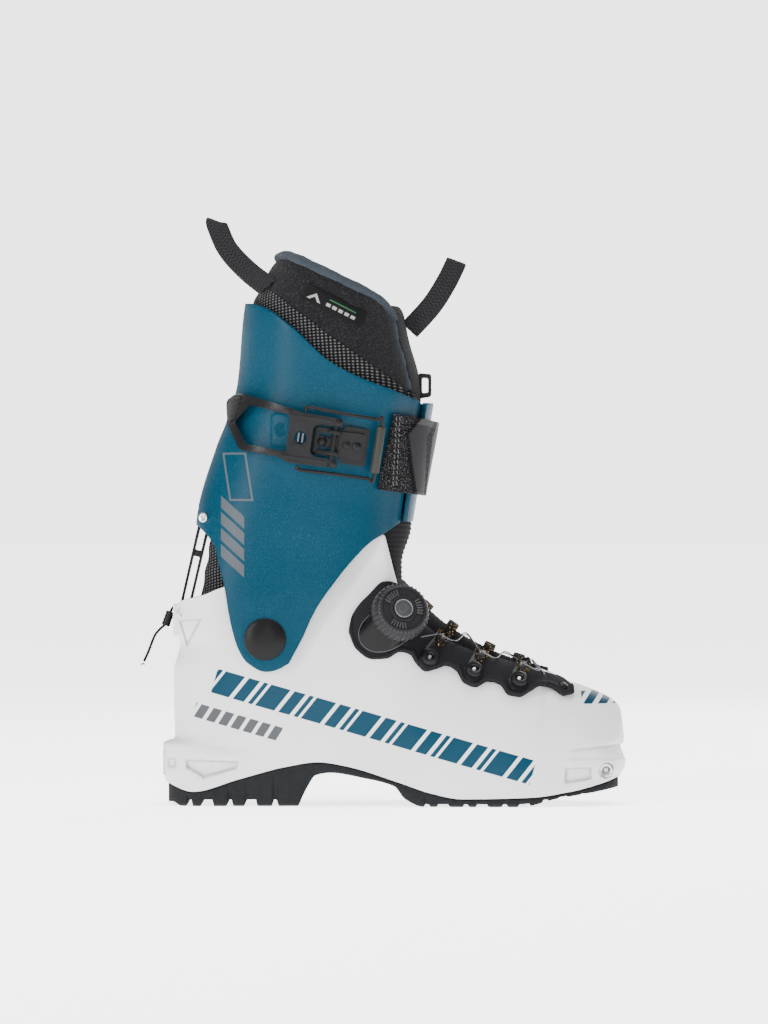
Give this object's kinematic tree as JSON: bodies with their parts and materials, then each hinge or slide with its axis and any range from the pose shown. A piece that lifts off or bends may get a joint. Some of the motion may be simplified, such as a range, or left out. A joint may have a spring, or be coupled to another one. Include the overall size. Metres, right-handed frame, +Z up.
{
  "type": "ski touring boot",
  "caption": "Right alpine ski-touring boot: hinged cuff with buckle and strap, rear walk-mode lock bar, lace dial over the instep, padded liner and lugged sole.",
  "frame": {"origin": "on the ground straight under the ankle axis, on the boot's centre plane, on the heel tread", "axes": "+Z up, +X to the toe, -Y to the outer (lateral) side"},
  "size_m": [0.3017, 0.1171, 0.3667],
  "materials": {
    "shell_plastic": "light grey injection-moulded plastic, satin",
    "cuff_plastic": "petrol blue moulded plastic, finely grained semi-gloss",
    "black_plastic": "black moulded plastic",
    "sole_rubber": "dark grey lugged rubber",
    "steel": "plain steel",
    "black_metal": "black anodised and painted metal",
    "liner_felt": "black felt and mesh over foam",
    "gaiter_textile": "black ribbed stretch textile",
    "webbing": "black woven webbing and hook-and-loop",
    "foam": "grey foam board",
    "cord": "thin braided black cord"
  },
  "bodies": {
    "shell": {"lower_shell": "shell_plastic", "outsole": "sole_rubber", "heel_insert": "steel", "toe_insert_lateral": "steel", "toe_insert_medial": "steel", "boot_board": "foam", "footbed": "liner_felt", "liner_foot": "liner_felt", "liner_flex_zone": "liner_felt", "lace_panel_lateral": "black_plastic", "lace_panel_medial": "black_plastic", "instep_gaiter": "gaiter_textile", "gaiter_neck": "gaiter_textile", "steel_lace": "steel", "dial_housing": "black_plastic", "ankle_stud_lateral": "steel", "ankle_stud_medial": "steel", "ankle_cap_lateral": "black_plastic", "ankle_cap_medial": "black_plastic", "lock_screw_lateral": "steel", "lock_screw_medial": "steel", "lace_eyelet_lateral_1": "black_metal", "lace_eyelet_lateral_2": "black_metal", "lace_eyelet_lateral_3": "black_metal", "lace_eyelet_medial_1": "black_metal", "lace_eyelet_medial_2": "black_metal", "lace_eyelet_medial_3": "black_metal", "lace_guide_1": "webbing", "lace_guide_2": "webbing", "lace_guide_3": "webbing", "lace_guide_4": "webbing"},
    "cuff": {"cuff": "cuff_plastic", "cuff_screw_lateral": "steel", "cuff_screw_medial": "steel", "lock_hinge_pin": "steel", "buckle_base": "black_metal", "base_rivet_1": "black_metal", "base_rivet_2": "black_metal", "lever_pin": "steel", "strap_band": "webbing", "strap_tab": "webbing", "strap_anchor": "steel", "liner_shaft": "liner_felt", "liner_tongue": "liner_felt", "tongue_tab": "black_plastic", "rear_pull_loop": "webbing", "front_pull_loop": "webbing"},
    "lever": {"buckle_lever": "black_metal"},
    "bail": {"bail_wire": "steel", "bail_roller": "black_plastic"},
    "lock_bar": {"lock_bar": "black_plastic", "pull_cord": "cord", "cord_toggle": "black_plastic"},
    "dial_slide": {"dial_cap": "steel"},
    "dial_rim": {"dial_knob": "black_plastic", "dial_spool": "black_plastic"}
  },
  "joints": [
    {"name": "cuff_flex", "type": "hinge", "parent": "shell", "child": "cuff", "pos_m": [0, 0, 0.1036], "axis": [0, 1, 0], "range_deg": [-15, 12], "deforming": ["liner_flex_zone", "gaiter_neck"]},
    {"name": "lever_open", "type": "hinge", "parent": "cuff", "child": "lever", "pos_m": [0.0422, -0.05469, 0.2247], "axis": [0.1509, 0, 0.9885], "range_deg": [0, 120]},
    {"name": "bail_swing", "type": "hinge", "parent": "lever", "child": "bail", "pos_m": [0.02342, -0.05489, 0.22757], "axis": [0.1509, 0, 0.9885], "range_deg": [-120, 0]},
    {"name": "lock_swing", "type": "hinge", "parent": "cuff", "child": "lock_bar", "pos_m": [-0.0379, 0, 0.1788], "axis": [0, 1, 0], "range_deg": [0, 95]},
    {"name": "dial_pull", "type": "slide", "parent": "shell", "child": "dial_slide", "axis": [0.2704, -0.9113, 0.3105], "range_m": [0, 0.003]},
    {"name": "dial_turn", "type": "hinge", "parent": "dial_slide", "child": "dial_rim", "pos_m": [0.079, -0.03864, 0.1155], "axis": [0.2704, -0.9113, 0.3105], "continuous": true}
  ],
  "couplings": [
    {"joint": "bail_swing", "follows": "lever_open", "ratio": -1}
  ]
}
